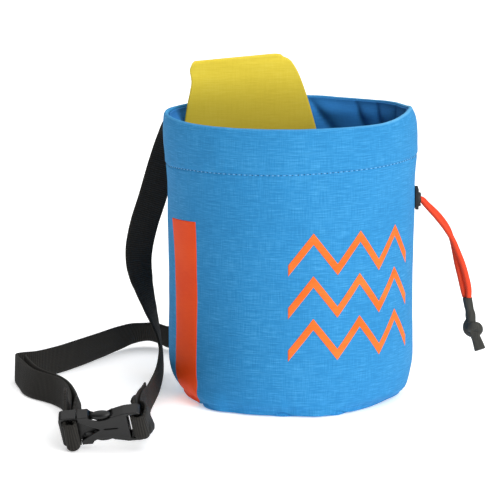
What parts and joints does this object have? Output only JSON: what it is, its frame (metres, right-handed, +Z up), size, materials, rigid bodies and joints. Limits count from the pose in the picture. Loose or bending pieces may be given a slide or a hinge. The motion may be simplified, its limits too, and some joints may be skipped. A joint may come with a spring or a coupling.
{
  "type": "chalk bag",
  "caption": "Open cylindrical cloth bag for climbing chalk with a lining, a folded pull tongue, a drawcord at its side and a buckled webbing waist belt.",
  "frame": {"origin": "centre of the bag's round base, on the surface that it stands on", "axes": "+Z up the bag's axis, -Y toward its printed front, +X toward the drawcord"},
  "size_m": [0.262, 0.2618, 0.1848],
  "materials": {
    "wall_cloth": "matte woven cloth",
    "lining_cloth": "matte woven cloth",
    "base_cloth": "matte woven cloth",
    "tongue_cloth": "matte woven cloth",
    "loop_web": "ribbed webbing",
    "belt_web": "ribbed webbing",
    "belt_web_fixed": "ribbed webbing",
    "buckle_plastic": "satin moulded",
    "buckle_plastic_body": "satin moulded",
    "guide_plastic": "satin moulded",
    "cord_a": "braided cord",
    "cord_b": "braided cord",
    "sleeve_rubber": "matte",
    "knot_rubber": "matte"
  },
  "bodies": {
    "root": {"bag_wall": "wall_cloth", "lining": "lining_cloth", "base_panel": "base_cloth", "pull_tongue": "tongue_cloth", "belt_loop": "loop_web", "belt_main": "belt_web", "belt_fixed": "belt_web_fixed", "buckle_male": "buckle_plastic", "buckle_female": "buckle_plastic_body", "cord_guide": "guide_plastic", "drawcord_a": "cord_a", "drawcord_b": "cord_b", "cord_sleeve": "sleeve_rubber", "pull_knot": "knot_rubber"}
  },
  "joints": []
}
